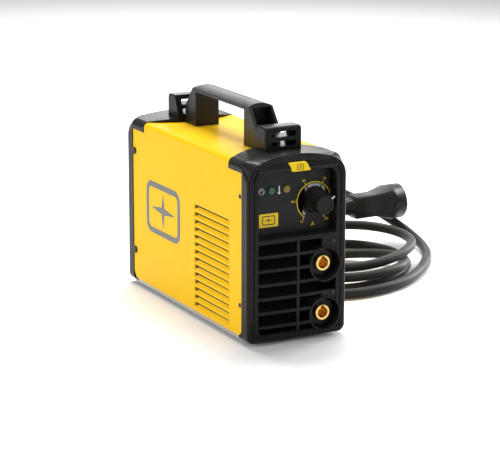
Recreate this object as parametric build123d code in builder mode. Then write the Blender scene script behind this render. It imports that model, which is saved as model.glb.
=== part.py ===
"""Portable stick welder: a sheet-steel inverter case between two moulded bezels.

Millimetres.  X runs across the machine, Y from its front to its back and Z up.  The origin is on the
floor, under the middle of the case, so the front faces -Y.
"""
from build123d import *
import os
from math import cos, pi, radians, sqrt, tan

os.makedirs("parts", exist_ok=True)

# ---------------------------------------------------------------------------- driving dimensions
body_width = 130.0           # over the two moulded bezels
bezel_lip = 1.0              # how far the bezels stand proud of the steel cover, all round
cover_length = 298.0
cover_low = 10.0             # lower edge of the cover's sides above the floor
cover_high = 216.0           # flat top of the cover
sheet = 1.2
cover_bend = 6.0             # outer bend radius along the cover's top corners
cover_foot_corner = 12.0     # rounding of the lower corners of its sides

bezel_depth = 16.0           # bezel in front of the cover's edge
bezel_low = 4.0
bezel_wall = 3.0
bezel_corner = 24.0          # outline radius of the bezel's upper corners at its face
bezel_edge = 3.5             # rounding between its face and its outside
seam_corner = 9.0            # the upper corners' radius where the bezel meets the cover
foot_corner = 9.0            # outline radius of the lower corners
shoulder_rise = 1.5          # bezel above the cover at its corners
crown_rise = 6.0             # and in the middle
brow_slope = 9.0             # the sloped brow between the top deck and the face
deck_reach = 33.0            # how far the bezel's caps lie over the cover at the corners
deck_arch = 51.0             # and how far its deck lies over it in the middle
cap_inset = 7.5              # width of a cap before the deck's edge starts to arch
cap_drop = 6.0               # how far a cap comes down the cover's side below the bend
spigot_length = 10.0
spigot_wall = 2.5

tray_low = 5.0
tray_sheet = 1.5
tray_flange = 8.5
foot_radius = 8.0
foot_x, foot_y = 46.0, 122.0

recess_half = 51.5           # half width of the opening in a bezel's face
recess_depth = 17.0
recess_drop = 14.0           # recess's upper edge below the shoulder of the bezel
recess_floor = 126.0         # lower edge of the control panel's recess
recess_corner = 12.0
rib = 2.5                    # thin walls moulded inside the bezels
groove_inset = 7.2
groove_width = 1.6
groove_depth = 2.0
moulding_radius = 5.0
moulding_proud = 2.0
grille_low = 12.5
grille_high = 121.0
bar_height = 3.5
bar_depth = 5.0
bar_setback = 2.0            # bars behind the face where they meet the frame
bar_bulge = 2.5              # how far they bow forward in the middle
bar_heights = [105.8, 89.0, 72.0, 55.4, 38.6, 21.8]
spine_x = 0.5
spine_width = 3.0

socket_x = 37.0
socket_heights = {"positive": 89.0, "negative": 29.0}
collar_outer = 21.0
collar_bore = 19.0
collar_proud = 1.0
socket_floor = 15.0          # depth of a socket's pocket behind the bezel's face
floor_sheet = 3.0
housing_radius = 16.5
housing_flange = 5.0
housing_body = 13.0
ring_radius = 9.5
ring_proud = 5.0             # brass in front of the housing's flange
socket_bore = 6.5
socket_depth = 24.0
socket_back = 3.0            # brass left behind the bore
key_width = 4.5
key_depth = 1.6
stud_radius = 5.0
stud_length = 20.0
bar_lug = 2.0                # thickness of the copper bars
bar_half = 8.0
bar_bend_x = 10.0
bar_reach = 36.0

panel_sheet = 2.5
knob_x, knob_z = 30.5, 162.0
knob_skirt = 14.5
knob_cap = 11.0
knob_length = 24.0
knob_lift = 2.6              # knob's skirt in front of the panel, over the nut
shaft_radius = 3.0
bush_radius = 4.5
fin_reach = 15.5             # the knob's pointer fin from its axis
fin_width = 4.5
pointer_angle = 35.0         # the pointer at rest, above the horizontal
led_radius = 5.0
led_stem = 2.5
led_z = 180.0
led_places = {"power_led": -26.0, "overheat_led": -6.0}
board_gap = 8.0              # control board behind the control panel
board_sheet = 1.6

handle_half = 16.0
handle_wall = 3.0
handle_crown = 3.5
handle_rise = 47.5           # upper edge of the handle's sides above the cover
grip_front, grip_rear = -70.0, 73.0
leg_front, leg_rear = -93.0, 96.0
leg_rise = 22.0              # where a leg's end starts to lean in, above the cover
gap_front, gap_rear = -61.0, 67.0
gap_rise = 43.0
grip_skin = 3.0

loop_half = 24.0
loop_foot = 11.0             # how much further back a loop reaches at its base than at its top
loop_round = 5.0             # rounding of its upper front edge
loop_setback = 35.0          # loop's outer face behind the bezel's face
loop_thick = 20.0
loop_rise = 33.0             # top of a strap loop above the cover
loop_slot_half = 16.5
loop_slot = 6.5
loop_bar = 4.5

louver_count = 14
louver_top = 142.6           # upper edge of the highest louver
louver_pitch = 9.3
louver_high = 6.4
louver_deep = 4.5
louver_front, louver_rear = -117.0, -25.0

filter_half = 55.5           # foam pad behind the grille, between the side screws
filter_low, filter_high = 14.5, 119.0
filter_thick = 6.0
ear_thread = 1.2
ear_screw_drop = 1.5         # small screws below the upper edge of the lower ear
side_screw_y = 144.0
side_screw_heights = [47.0, 176.0]
shank_radius = 2.0
screw_gap = 0.15             # clearance round a screw's shank
running_gap = 0.3            # clearance between parts that turn or tilt and their seats

rear_recess = 13.0
fan_size = 92.0
fan_depth = 25.0
fan_bore = 44.5
fan_hub = 18.0
fan_pitch = 82.5
fan_z = 70.0
blade_count = 7
guard_high = 2.5
switch_x, switch_z = -28.0, 168.0
switch_half_x, switch_half_z = 14.0, 11.0
switch_flange = 2.0
switch_depth = 20.0
rocker_tilt = 7.0
gland_x, gland_z = 32.0, 150.0
gland_reach = 22.6           # gland outside the rear panel
gland_thread = 10.0
cord_radius = 6.3
boot_length = 35.0

main_board_z = 40.0
main_board_half = 52.0
main_board_front, main_board_rear = -90.0, 112.0
pillar_radius = 4.0
sink_base = 4.0
sink_inner = 36.0            # inner face of each heat sink's base from the middle
sink_fin = 18.0
sink_front, sink_rear = 32.0, 106.0
sink_low, sink_high = 0.0, 92.0
chip_thick = 5.0
can_radius = 12.5
can_high = 42.0
can_y = 14.0
core_half_x, core_high, core_half_y, core_y = 30.0, 52.0, 12.0, -26.0
core_leg = 8.0
choke_outer, choke_inner, choke_half, choke_y, choke_x = 28.0, 14.0, 11.0, -70.0, -20.0
choke_wrap = 3.0

# ---------------------------------------------------------------------------- worked-out places
half = body_width / 2
cover_half = half - bezel_lip
cover_y = cover_length / 2
inner_half = cover_half - sheet
inner_high = cover_high - sheet
tray_top = tray_low + tray_sheet
shoulder_high = cover_high + shoulder_rise
crown_high = cover_high + crown_rise
recess_top = shoulder_high - recess_drop
face_y = cover_y + bezel_depth           # distance of a bezel's face from the middle
panel_y = face_y - recess_depth          # face of the control panel
pocket_y = face_y - socket_floor         # floor of a socket's pocket
rear_y = face_y - rear_recess            # outside of the rear panel
moulding_z = recess_top + moulding_radius
knob_base = panel_y + knob_lift
ear_face = face_y - bar_setback / 2      # face of the ears that carry the small grille screws
board_top = main_board_z + board_sheet
bottom = (Align.CENTER, Align.CENTER, Align.MIN)
top = (Align.CENTER, Align.CENTER, Align.MAX)


def front(distance):
    """Upright plane at Y = -distance that faces forward: its own x is X and its own y is Z."""
    return Plane.XZ.offset(distance)


def back(distance):
    """Upright plane at Y = +distance that faces backward: its own x is -X and its own y is Z."""
    return Plane(origin=(0, distance, 0), x_dir=(-1, 0, 0), z_dir=(0, 1, 0))


def finish(piece, name):
    """Label a finished piece and write its STEP file."""
    piece.label = name
    export_step(piece, f"parts/{name}.step")


def shell_profile(inset, corner):
    """Bezel outline in its own plane: level sides, a shallow arch on top and four round corners."""
    side = half - inset
    low = bezel_low + inset
    shoulder = shoulder_high - inset
    foot = max(foot_corner - inset, 2.0)
    turn = 1 - cos(pi / 4)
    with BuildSketch() as profile:
        with BuildLine():
            Line((-side, low + foot), (-side, shoulder - corner))
            ThreePointArc((-side, shoulder - corner),
                          (-side + corner * turn, shoulder - corner * turn), (-side + corner, shoulder))
            ThreePointArc((-side + corner, shoulder), (0, crown_high - inset), (side - corner, shoulder))
            ThreePointArc((side - corner, shoulder),
                          (side - corner * turn, shoulder - corner * turn), (side, shoulder - corner))
            Line((side, shoulder - corner), (side, low + foot))
            ThreePointArc((side, low + foot), (side - foot * turn, low + foot * turn), (side - foot, low))
            Line((side - foot, low), (-side + foot, low))
            ThreePointArc((-side + foot, low), (-side + foot * turn, low + foot * turn), (-side, low + foot))
        make_face()
    return profile.sketch


def cover_profile(inset, low):
    """Outline of the cover in its own plane: outside with inset 0, inside with inset = sheet."""
    side = cover_half - inset
    high = cover_high - inset
    with BuildSketch() as profile:
        with Locations((0, (low + high) / 2)):
            Rectangle(2 * side, high - low)
        fillet(profile.vertices().group_by(Axis.Y)[-1], cover_bend - inset)
    return profile.sketch


def opening_profile(half_width, low, high, upper_corner, lower_corner):
    """Upright rounded opening in its own plane."""
    with BuildSketch() as profile:
        with Locations((0, (low + high) / 2)):
            Rectangle(2 * half_width, high - low)
        fillet(profile.vertices().group_by(Axis.Y)[-1], upper_corner)
        fillet(profile.vertices().group_by(Axis.Y)[0], lower_corner)
    return profile.sketch


def pan_screw(head_radius, head_high, shank_length, thread_radius=shank_radius):
    """Pan-head screw with a cross slot; the underside of its head is at the origin, shank down."""
    slot = head_radius * 0.26
    with BuildPart() as screw:
        Cylinder(head_radius, head_high, align=bottom)
        fillet(screw.faces().sort_by(Axis.Z)[-1].edges(), head_high * 0.6)
        Cylinder(thread_radius, shank_length, align=top)
        with Locations((0, 0, head_high)):
            Box(head_radius * 1.1, slot, head_high, mode=Mode.SUBTRACT)
            Box(slot, head_radius * 1.1, head_high, mode=Mode.SUBTRACT)
    return screw.part


def sides(places_y, heights):
    """Places on both sides of the cover, each facing outward."""
    return [Plane(origin=(s * cover_half, y, z), z_dir=(s, 0, 0)).location
            for s in (-1, 1) for y in places_y for z in heights]


# ---------------------------------------------------------------------------- sheet-steel cover
louver_z = [louver_top - louver_high / 2 - louver_pitch * k for k in range(louver_count)]
louver_mid = (louver_front + louver_rear) / 2
louver_long = louver_rear - louver_front
with BuildPart() as cover:
    with BuildSketch(front(cover_y)):
        add(cover_profile(0, cover_low))
        add(cover_profile(sheet, cover_low - sheet), mode=Mode.SUBTRACT)
    extrude(amount=-cover_length)
    fillet(cover.edges().filter_by(Axis.X).group_by(Axis.Z)[0], cover_foot_corner)
    with BuildSketch(Plane.YZ):
        with Locations(*[(louver_mid, z) for z in louver_z]):
            RectangleRounded(louver_long, louver_high, louver_high * 0.35)
    extrude(amount=half, both=True, mode=Mode.SUBTRACT)
    with BuildSketch(front(-louver_front)):
        for z in louver_z:
            low, high = z - louver_high / 2, z + louver_high / 2
            for s in (-1, 1):
                Polygon((s * cover_half, low - sheet), (s * inner_half, low - sheet),
                        (s * (cover_half - louver_deep), high),
                        (s * (cover_half - louver_deep + sheet), high),
                        (s * cover_half, low), align=None)
    extrude(amount=-louver_long)
    with BuildSketch(front(-louver_front), front(-louver_rear + sheet)):
        for z in louver_z:
            low, high = z - louver_high / 2, z + louver_high / 2
            for s in (-1, 1):
                Polygon((s * (cover_half - sheet / 2), low - sheet), (s * inner_half, low - sheet),
                        (s * (cover_half - louver_deep), high), (s * (cover_half - sheet / 2), high),
                        align=None)
    extrude(amount=-sheet)
    with Locations(*sides([-side_screw_y, side_screw_y], side_screw_heights)):
        Hole(shank_radius + screw_gap, 3 * sheet)
    with Locations(*[(x, y, cover_high) for x in (-8, 8) for y in (leg_front + 14, leg_rear - 14)]):
        Hole(shank_radius + screw_gap, 3 * sheet)
finish(cover.part, "cover")

# ---------------------------------------------------------------------------- base tray and feet
with BuildPart() as base_tray:
    with Locations((0, 0, tray_low)):
        Box(2 * inner_half, cover_length, tray_sheet, align=bottom)
    flange_length = cover_length - 2 * spigot_length - 1
    with Locations(*[(s * (inner_half - tray_sheet / 2), 0, tray_low) for s in (-1, 1)]):
        Box(tray_sheet, flange_length, tray_flange, align=bottom)
    with BuildSketch(Plane.XY.offset(tray_low)):
        with GridLocations(12, 34, 7, 5):
            SlotOverall(24, 4, rotation=90)
    extrude(amount=tray_sheet, mode=Mode.SUBTRACT)
    with Locations(*[(x, y, tray_top) for x in (-foot_x, foot_x) for y in (-foot_y, foot_y)]):
        Hole(shank_radius + screw_gap, 2 * tray_sheet)
    with Locations(*[(x, y, tray_top) for x in (-foot_x, foot_x) for y in (-side_screw_y, side_screw_y)]):
        Hole(shank_radius + screw_gap, 2 * tray_sheet)
finish(base_tray.part, "base_tray")

foot_places = [(x, y) for x in (-foot_x, foot_x) for y in (-foot_y, foot_y)]
with BuildPart() as rubber_feet:
    with BuildSketch():
        with Locations(*foot_places):
            Circle(foot_radius)
    extrude(amount=tray_low, taper=-6)
    fillet(rubber_feet.edges().group_by(Axis.Z)[0], 0.8)
    with Locations(*[(x, y, 0) for x, y in foot_places]):
        Cylinder(4.4, 3.2, align=bottom, mode=Mode.SUBTRACT)
        Cylinder(shank_radius + screw_gap, tray_low, align=bottom, mode=Mode.SUBTRACT)
finish(rubber_feet.part, "rubber_feet")

with BuildPart() as base_screws:
    with Locations(*[Plane(origin=(x, y, 3.2), z_dir=(0, 0, -1)).location for x, y in foot_places]):
        add(pan_screw(3.8, 2.0, 7.0))
    with Locations(*[Plane(origin=(x, y, tray_low), z_dir=(0, 0, -1)).location
                     for x in (-foot_x, foot_x) for y in (-side_screw_y, side_screw_y)]):
        add(pan_screw(3.8, 2.0, 6.0))
finish(base_screws.part, "base_screws")

# ---------------------------------------------------------------------------- moulded bezels
brow_y = face_y - brow_slope
with BuildPart() as deck:
    with BuildSketch(front(cover_y)):
        add(shell_profile(0, seam_corner))
        add(cover_profile(0, bezel_low - 1), mode=Mode.SUBTRACT)
    extrude(amount=-deck_arch)
    with BuildSketch(Plane.XY.offset(cover_high - cover_bend - cap_drop)):
        with BuildLine():
            cap_y = -cover_y + deck_reach
            Polyline((-half + cap_inset, cap_y), (-half - 1, cap_y), (-half - 1, -cover_y),
                     (half + 1, -cover_y), (half + 1, cap_y), (half - cap_inset, cap_y))
            ThreePointArc((half - cap_inset, cap_y), (0, -cover_y + deck_arch), (-half + cap_inset, cap_y))
        make_face()
    extrude(amount=cover_bend + cap_drop + 2 * crown_rise, mode=Mode.INTERSECT)

with BuildPart() as shell:
    with BuildSketch(front(cover_y)):
        add(shell_profile(0, seam_corner))
    with BuildSketch(front(face_y - bezel_edge - 1)):
        add(shell_profile(0, bezel_corner))
    loft()
    with BuildSketch(front(face_y - bezel_edge - 1)):
        add(shell_profile(0, bezel_corner))
    extrude(amount=bezel_edge + 1)
    fillet(shell.faces().sort_by(Axis.Y)[0].edges(), bezel_edge)
    with BuildSketch(Plane.YZ):
        Polygon((-face_y - 1, shoulder_high - 5), (-face_y - 1, crown_high + 5), (-brow_y, crown_high + 5),
                (-brow_y, crown_high), align=None)
    extrude(amount=half - bezel_corner + 5, both=True, mode=Mode.SUBTRACT)
    with BuildSketch(front(cover_y)):
        add(shell_profile(bezel_wall, bezel_corner - bezel_wall))
    extrude(amount=bezel_depth - brow_slope - bezel_wall, mode=Mode.SUBTRACT)
    with BuildSketch(front(cover_y)):
        add(shell_profile(bezel_wall, bezel_corner - bezel_wall))
        with Locations((0, crown_high)):
            Rectangle(body_width, 2 * (crown_high - recess_top - rib), mode=Mode.SUBTRACT)
    extrude(amount=bezel_depth - bezel_wall, mode=Mode.SUBTRACT)
    with BuildSketch(front(face_y)):
        add(shell_profile(groove_inset, bezel_corner - groove_inset))
        add(shell_profile(groove_inset + groove_width, bezel_corner - groove_inset - groove_width),
            mode=Mode.SUBTRACT)
    extrude(amount=-groove_depth, mode=Mode.SUBTRACT)
    with BuildSketch(front(cover_y + bezel_wall)):
        add(cover_profile(sheet, tray_top))
        add(cover_profile(sheet + spigot_wall, tray_top + spigot_wall), mode=Mode.SUBTRACT)
    extrude(amount=-bezel_wall - spigot_length)
    add(deck.part)
    with Locations(*[Plane(origin=(s * cover_half, -side_screw_y, z), z_dir=(s, 0, 0)).location
                     for s in (-1, 1) for z in side_screw_heights]):
        Hole(shank_radius + screw_gap, 12)
    with Locations(*[(x, -side_screw_y, tray_top + spigot_wall) for x in (-foot_x, foot_x)]):
        Hole(shank_radius + screw_gap, 2 * spigot_wall)

ear_screw_places = [Plane(origin=(socket_x + 11.5, -ear_face, z), z_dir=(0, -1, 0)).location
                    for z in (bar_heights[0] + 10, bar_heights[3] - ear_screw_drop)]
with BuildPart() as front_bezel:
    add(shell.part)
    with BuildSketch(front(panel_y)):
        add(opening_profile(recess_half + rib, recess_floor - rib, recess_top + rib,
                            recess_corner + rib, rib))
    extrude(amount=recess_depth - groove_depth - 0.5)
    with BuildSketch(front(panel_y)):
        add(opening_profile(recess_half, recess_floor, recess_top, recess_corner, rib))
    extrude(amount=recess_depth + 5, mode=Mode.SUBTRACT)
    with BuildSketch(front(cover_y)):
        add(opening_profile(recess_half, grille_low, grille_high, rib, foot_corner))
    extrude(amount=bezel_depth + 5, mode=Mode.SUBTRACT)
    with BuildSketch(Plane.YZ):
        Polygon((-face_y + 1, recess_floor - rib), (-face_y + 1, recess_floor - 1),
                (-panel_y, recess_floor + 2), (-panel_y, recess_floor - rib), align=None)
    extrude(amount=recess_half, both=True)
    with Locations(Plane(origin=(0, -face_y + moulding_radius - moulding_proud, moulding_z),
                         z_dir=(1, 0, 0)).location):
        Cylinder(moulding_radius, 2 * recess_half)
    with BuildSketch(*[Plane.XY.offset(z - bar_height / 2) for z in bar_heights]):
        with BuildLine():
            reach = recess_half + 1
            bar_y = -face_y + bar_setback
            ThreePointArc((-reach, bar_y), (0, bar_y - bar_bulge), (reach, bar_y))
            Line((reach, bar_y), (reach, bar_y + bar_depth))
            ThreePointArc((reach, bar_y + bar_depth), (0, bar_y + bar_depth - bar_bulge),
                          (-reach, bar_y + bar_depth))
            Line((-reach, bar_y + bar_depth), (-reach, bar_y))
        make_face()
    extrude(amount=bar_height)
    with Locations((spine_x, -face_y - 1, (grille_low + grille_high) / 2)):
        Box(spine_width, bar_depth + 1, grille_high - grille_low + 2,
            align=(Align.CENTER, Align.MIN, Align.CENTER))
    ear_left = socket_x - 4
    for low, high in ((bar_heights[0], grille_high), (bar_heights[3] - 9, bar_heights[3])):
        with Locations(((ear_left + recess_half + 1) / 2, -face_y + bar_setback / 2, (low + high) / 2)):
            Box(recess_half + 1 - ear_left, bar_depth, high - low + bar_height,
                align=(Align.CENTER, Align.MIN, Align.CENTER))
    with BuildSketch(front(pocket_y - floor_sheet)):
        with Locations(*[(socket_x, z) for z in socket_heights.values()]):
            Circle(collar_outer)
    extrude(amount=socket_floor + floor_sheet + collar_proud)
    fillet(front_bezel.edges().filter_by(GeomType.CIRCLE).group_by(Axis.Y)[0], collar_proud * 0.9)
    with BuildSketch(front(pocket_y)):
        with Locations(*[(socket_x, z) for z in socket_heights.values()]):
            Circle(collar_bore)
    extrude(amount=socket_floor + 5, mode=Mode.SUBTRACT)
    with BuildSketch(front(pocket_y - floor_sheet)):
        with Locations(*[(socket_x, z) for z in socket_heights.values()]):
            Circle(housing_body)
    extrude(amount=floor_sheet, mode=Mode.SUBTRACT)
    with Locations(*ear_screw_places):
        Hole(ear_thread + screw_gap, 10)
finish(front_bezel.part, "front_bezel")

fan_holes = [(x, fan_z + z) for x in (-fan_pitch / 2, fan_pitch / 2) for z in (-fan_pitch / 2, fan_pitch / 2)]
with BuildPart() as rear_bezel:
    add(mirror(shell.part, about=Plane.XZ))
    with BuildSketch(back(cover_y)):
        add(opening_profile(recess_half + rib, grille_low - rib, recess_top + rib, recess_corner + rib,
                            foot_corner + rib))
    extrude(amount=bezel_depth - groove_depth - 0.5)
    with BuildSketch(back(rear_y)):
        add(opening_profile(recess_half, grille_low, recess_top, recess_corner, foot_corner))
    extrude(amount=rear_recess + 5, mode=Mode.SUBTRACT)
    with BuildSketch(back(rear_y - bezel_wall)):
        with Locations((0, fan_z)):
            Circle(fan_bore - 1)
        with Locations((-switch_x, switch_z)):
            Rectangle(2 * switch_half_x, 2 * switch_half_z)
        with Locations((-gland_x, gland_z)):
            Circle(gland_thread)
    extrude(amount=bezel_wall + 1, mode=Mode.SUBTRACT)
    with Locations(*[(x, rear_y, z) for x, z in fan_holes]):
        Cylinder(shank_radius + screw_gap, 3 * bezel_wall, rotation=(90, 0, 0), mode=Mode.SUBTRACT)
finish(rear_bezel.part, "rear_bezel")

# ---------------------------------------------------------------------------- control panel
with BuildPart() as control_panel:
    with BuildSketch(front(panel_y - panel_sheet)):
        add(opening_profile(recess_half + rib, recess_floor - rib, recess_top + rib,
                            recess_corner + rib, rib))
        with Locations((knob_x, knob_z)):
            Circle(bush_radius, mode=Mode.SUBTRACT)
        with Locations(*[(x, led_z) for x in led_places.values()]):
            Circle(led_stem, mode=Mode.SUBTRACT)
    extrude(amount=panel_sheet)
finish(control_panel.part, "control_panel")

with BuildPart() as panel_badge:
    with BuildSketch(front(panel_y)):
        with Locations((-29.5, 145)):
            RectangleRounded(25, 16, 0.8)
    extrude(amount=0.6)
finish(panel_badge.part, "panel_badge")

with BuildPart() as top_badge:
    with BuildSketch(front(face_y - 3)):
        with BuildLine():
            Polyline((-13, moulding_z + 5.5), (9, moulding_z + 5.5), (15, moulding_z - 4.5),
                     (-9, moulding_z - 4.5), close=True)
        make_face()
    extrude(amount=3 + moulding_proud + 1.2)
    fillet(top_badge.edges().filter_by(Axis.Y), 0.8)
    add(front_bezel.part, mode=Mode.SUBTRACT)
finish(top_badge.part.solids().sort_by(SortBy.VOLUME)[-1], "top_badge")

for name, x in led_places.items():
    with BuildPart() as led:
        with BuildSketch(front(panel_y)):
            with Locations((x, led_z)):
                Circle(led_radius)
        extrude(amount=2.6)
        fillet(led.faces().sort_by(Axis.Y)[0].edges(), 2.2)
        with BuildSketch(front(panel_y - panel_sheet - board_gap)):
            with Locations((x, led_z)):
                Circle(led_stem)
        extrude(amount=panel_sheet + board_gap)
    finish(led.part, name)

# ---------------------------------------------------------------------------- current knob
knob_axis = Plane(origin=(knob_x, -knob_base, knob_z), x_dir=(1, 0, 0), z_dir=(0, -1, 0))
skirt_high = 7.0
shaft_in_knob = 16.0
with BuildPart(knob_axis) as current_knob:
    Cone(knob_skirt, knob_skirt - 1.5, skirt_high, align=bottom)
    with Locations((0, 0, skirt_high)):
        Cone(knob_skirt - 2.2, knob_cap, knob_length - skirt_high, align=bottom)
    fillet(current_knob.faces().sort_by(Axis.Y)[0].edges(), 1.0)
    with PolarLocations(knob_cap + 1.4, 16, start_angle=pointer_angle + 11.25):
        with Locations((0, 0, skirt_high + 2)):
            Cylinder(1.0, knob_length, align=bottom, mode=Mode.SUBTRACT)
    with PolarLocations(fin_reach / 2, 1, start_angle=pointer_angle):
        with Locations((0, 0, 1)):
            Box(fin_reach, fin_width, knob_length - 2, align=bottom)
    Cylinder(shaft_radius, shaft_in_knob, align=bottom, mode=Mode.SUBTRACT)
    with Locations((0, 0, knob_length)):
        Cylinder(knob_cap - 2.2, 0.8, align=top, mode=Mode.SUBTRACT)
finish(current_knob.part, "current_knob")

with BuildPart() as knob_pointer:
    with Locations(knob_axis.location):
        with PolarLocations((knob_cap + fin_reach) / 2, 1, start_angle=pointer_angle):
            with Locations((0, 0, skirt_high)):
                Box(fin_reach - knob_cap + 0.6, 1.6, knob_length - skirt_high - 0.7, align=bottom)
    add(current_knob.part, mode=Mode.SUBTRACT)
finish(knob_pointer.part.solids().sort_by(SortBy.VOLUME)[-1], "knob_pointer")

with BuildPart(knob_axis) as potentiometer_shaft:
    Cylinder(shaft_radius, shaft_in_knob, align=bottom)
    Cylinder(shaft_radius, knob_lift + panel_sheet + 2, align=top)
finish(potentiometer_shaft.part, "potentiometer_shaft")

nut_high = 2.0
with BuildPart(knob_axis) as potentiometer:
    with Locations((0, 0, -knob_lift - panel_sheet)):
        Cylinder(8, board_gap, align=top)
        Cylinder(bush_radius, panel_sheet + nut_high, align=bottom)
    with Locations((0, 0, -knob_lift - panel_sheet - 2 - running_gap)):
        Cylinder(shaft_radius + running_gap / 2, 20, align=bottom, mode=Mode.SUBTRACT)
finish(potentiometer.part, "potentiometer")

with BuildPart() as potentiometer_nut:
    with BuildSketch(knob_axis.offset(-knob_lift)):
        RegularPolygon(7.5, 6)
        Circle(bush_radius, mode=Mode.SUBTRACT)
    extrude(amount=nut_high)
finish(potentiometer_nut.part, "potentiometer_nut")

board_face = panel_y - panel_sheet - board_gap
pillar_places = [(x, z) for x in (-40, 0, 46) for z in (146, 196)]
with BuildPart() as control_board:
    with BuildSketch(front(board_face - board_sheet)):
        with Locations((0, (recess_floor + recess_top) / 2 + 6)):
            RectangleRounded(2 * recess_half - 2, 64, 2)
    extrude(amount=board_sheet)
    with BuildSketch(front(board_face - board_sheet - 4)):
        with Locations((-30, 160), (-12, 160), (10, 172), (10, 156)):
            Rectangle(12, 7)
    extrude(amount=4)
finish(control_board.part, "control_board")

with BuildPart() as control_board_pillars:
    with BuildSketch(front(board_face)):
        with Locations(*pillar_places):
            RegularPolygon(3, 6)
    extrude(amount=board_gap)
finish(control_board_pillars.part, "control_board_pillars")

# ---------------------------------------------------------------------------- weld sockets
brass_front = pocket_y + housing_flange + ring_proud
brass_back = brass_front - socket_depth - socket_back
housing_nut = 5.0
stud_nut = 6.0
with BuildPart() as socket_nuts:
    with BuildSketch(front(pocket_y - floor_sheet - housing_nut)):
        with Locations(*[(socket_x, z) for z in socket_heights.values()]):
            RegularPolygon(housing_body + 4.5, 6)
            Circle(housing_body, mode=Mode.SUBTRACT)
    extrude(amount=housing_nut)
finish(socket_nuts.part, "socket_nuts")

with BuildPart() as stud_nuts:
    with BuildSketch(front(brass_back - bar_lug - stud_nut)):
        with Locations(*[(socket_x, z) for z in socket_heights.values()]):
            RegularPolygon(stud_radius + 4, 6)
            Circle(stud_radius, mode=Mode.SUBTRACT)
    extrude(amount=stud_nut)
finish(stud_nuts.part, "stud_nuts")

for pole, z in socket_heights.items():
    socket_axis = Plane(origin=(socket_x, -brass_front, z), x_dir=(1, 0, 0), z_dir=(0, -1, 0))
    with BuildPart(socket_axis) as housing:
        with Locations((0, 0, -ring_proud)):
            Cylinder(housing_radius, housing_flange, align=top)
        fillet(housing.faces().sort_by(Axis.Y)[0].edges(), 1.0)
        with Locations((0, 0, -ring_proud - housing_flange)):
            Cylinder(housing_body, socket_depth + socket_back - ring_proud - housing_flange, align=top)
        Cylinder(ring_radius, socket_depth + socket_back, align=top, mode=Mode.SUBTRACT)
    finish(housing.part, f"{pole}_socket_housing")
    with BuildPart(socket_axis) as contact:
        Cylinder(ring_radius, socket_depth + socket_back, align=top)
        chamfer(contact.faces().sort_by(Axis.Y)[0].edges(), 0.6)
        Cylinder(socket_bore, socket_depth, align=top, mode=Mode.SUBTRACT)
        with Locations((0, socket_bore, 0)):
            Box(key_width, 2 * key_depth, socket_depth, align=top, mode=Mode.SUBTRACT)
        with Locations((0, 0, -socket_depth - socket_back)):
            Cylinder(stud_radius, stud_length, align=top)
    finish(contact.part, f"{pole}_socket_contact")
    with BuildPart() as bus_bar:
        with BuildSketch(front(brass_back - bar_lug)):
            with Locations(((bar_bend_x + socket_x + bar_half) / 2, z)):
                Rectangle(socket_x + bar_half - bar_bend_x, 2 * bar_half)
            with Locations((socket_x, z)):
                Circle(stud_radius, mode=Mode.SUBTRACT)
        extrude(amount=bar_lug)
        with Locations((bar_bend_x, -brass_back, z)):
            Box(bar_lug, bar_reach, 2 * bar_half, align=(Align.MIN, Align.MIN, Align.CENTER))
    finish(bus_bar.part, f"{pole}_bus_bar")

with BuildPart() as ear_screws:
    with Locations(*ear_screw_places):
        add(pan_screw(2.6, 1.0, 8, ear_thread))
finish(ear_screws.part, "ear_screws")

with BuildPart() as side_screws:
    with Locations(*sides([side_screw_y], side_screw_heights)):
        add(pan_screw(4.6, 2.2, 8))
    with Locations(*sides([-side_screw_y], side_screw_heights)):
        add(pan_screw(2.6, 1.0, 8))
finish(side_screws.part, "side_screws")

with BuildPart() as dust_filter:
    with BuildSketch(front(pocket_y - floor_sheet)):
        with Locations((0, (filter_low + filter_high) / 2)):
            Rectangle(2 * filter_half, filter_high - filter_low)
        with Locations(*[(socket_x, z) for z in socket_heights.values()]):
            Circle(collar_bore, mode=Mode.SUBTRACT)
    extrude(amount=-filter_thick)
finish(dust_filter.part, "dust_filter")

# ---------------------------------------------------------------------------- handle and strap loops
top_y = handle_rise + cover_high
with BuildPart() as handle:
    with BuildSketch(Plane.YZ):
        Polygon((leg_front, cover_high), (leg_front, cover_high + leg_rise),
                (grip_front, top_y + handle_crown),
                (grip_rear, top_y + handle_crown), (leg_rear, cover_high + leg_rise), (leg_rear, cover_high),
                (gap_rear, cover_high), (gap_rear, cover_high + gap_rise),
                (gap_front, cover_high + gap_rise), (gap_front, cover_high), align=None)
    extrude(amount=handle_half, both=True)
    with BuildSketch(Plane.XZ):
        with BuildLine():
            Polyline((-handle_half, top_y), (-handle_half, cover_high), (handle_half, cover_high),
                     (handle_half, top_y))
            ThreePointArc((handle_half, top_y), (0, top_y + handle_crown), (-handle_half, top_y))
        make_face()
    extrude(amount=face_y, both=True, mode=Mode.INTERSECT)
    hollow_half = handle_half - handle_wall
    floor_z = cover_high + handle_wall
    roof_z = top_y + handle_crown / 2 - grip_skin
    with BuildSketch(Plane.YZ):
        Polygon((leg_front - 9, floor_z), (gap_front - handle_wall, floor_z),
                (gap_front - handle_wall, roof_z),
                (leg_front - 9, roof_z), align=None)
        Polygon((leg_rear + 9, floor_z), (gap_rear + handle_wall, floor_z), (gap_rear + handle_wall, roof_z),
                (leg_rear + 9, roof_z), align=None)
        Polygon((gap_front, cover_high + gap_rise - 1), (gap_rear, cover_high + gap_rise - 1),
                (gap_rear, roof_z), (gap_front, roof_z), align=None)
    extrude(amount=hollow_half, both=True, mode=Mode.SUBTRACT)
    handle_screw_places = [(x, y) for x in (-8, 8) for y in (leg_front + 14, leg_rear - 14)]
    with Locations(*[(x, y, floor_z) for x, y in handle_screw_places]):
        Hole(shank_radius + screw_gap, 2 * handle_wall)
finish(handle.part, "handle")

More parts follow.
